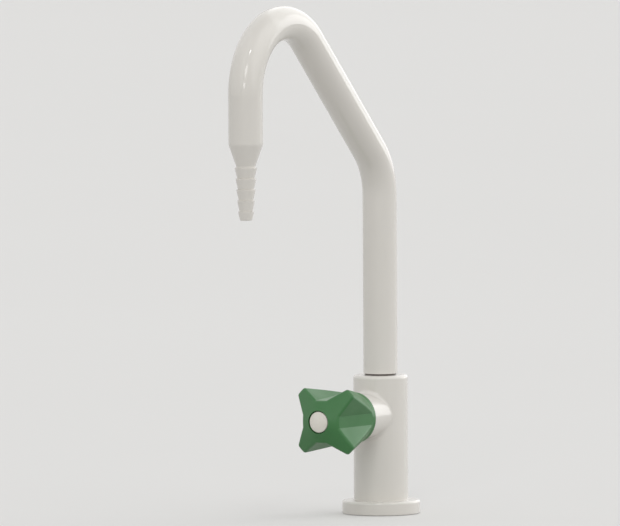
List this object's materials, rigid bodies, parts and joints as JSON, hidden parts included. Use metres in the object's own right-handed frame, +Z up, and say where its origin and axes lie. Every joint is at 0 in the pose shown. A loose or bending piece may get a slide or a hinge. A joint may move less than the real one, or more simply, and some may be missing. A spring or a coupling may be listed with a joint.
{
  "type": "laboratory gooseneck tap",
  "caption": "Bench-mounted laboratory tap: flanged column, screw-down valve with lobed handwheel, swivelling gooseneck spout and barbed hose nozzle.",
  "frame": {"origin": "centre of the base flange's underside, on the bench surface", "axes": "+Z up along the column axis; the spout and the handwheel face -Y; the shank and its nut hang below the origin"},
  "size_m": [0.05, 0.196, 0.3955],
  "materials": {
    "coated_brass": "glossy baked epoxy powder coat, warm off-white",
    "handwheel_plastic": "satin moulded plastic, mid green",
    "cap_plastic": "glossy moulded plastic, off-white",
    "bearing_plastic": "black acetal",
    "brass": "bare turned brass",
    "nitrile_rubber": "black nitrile rubber",
    "steel": "plain stainless steel"
  },
  "bodies": {
    "tap_body": {"column_body": "coated_brass", "valve_seat": "steel", "lock_screw": "steel", "base_flange": "coated_brass", "flange_gasket": "nitrile_rubber", "mounting_shank": "brass", "shank_seal": "nitrile_rubber", "bench_washer_rubber": "nitrile_rubber", "bench_washer_steel": "steel", "backnut": "brass", "headwork_body": "brass", "headwork_seal": "nitrile_rubber"},
    "spout": {"spout_tube": "coated_brass", "spout_tail": "brass", "spout_rings": "nitrile_rubber", "spout_bearing_ring": "bearing_plastic", "outlet_bush": "brass", "nozzle_seal": "nitrile_rubber", "hose_nozzle": "coated_brass"},
    "handwheel_and_spindle": {"spindle": "brass", "spindle_rings": "nitrile_rubber", "thrust_washer": "bearing_plastic", "spindle_circlip": "steel", "handwheel": "handwheel_plastic", "handwheel_screw": "steel", "index_cap": "cap_plastic"},
    "valve": {"valve_carrier": "brass", "seat_washer": "nitrile_rubber", "seat_screw": "steel"}
  },
  "joints": [
    {"name": "spout_swivel", "type": "hinge", "parent": "tap_body", "child": "spout", "pos_m": [0, 0, 0.0892], "axis": [0, 0, 1], "continuous": true},
    {"name": "handwheel_turn", "type": "hinge", "parent": "tap_body", "child": "handwheel_and_spindle", "pos_m": [0, 0, 0.0635], "axis": [0, -1, 0], "range_deg": [0, 720]},
    {"name": "valve_slide", "type": "slide", "parent": "tap_body", "child": "valve", "axis": [0, -1, 0], "range_m": [0, 0.004]}
  ],
  "couplings": [
    {"joint": "valve_slide", "follows": "handwheel_turn", "m_per_rad": 0.00031831}
  ]
}
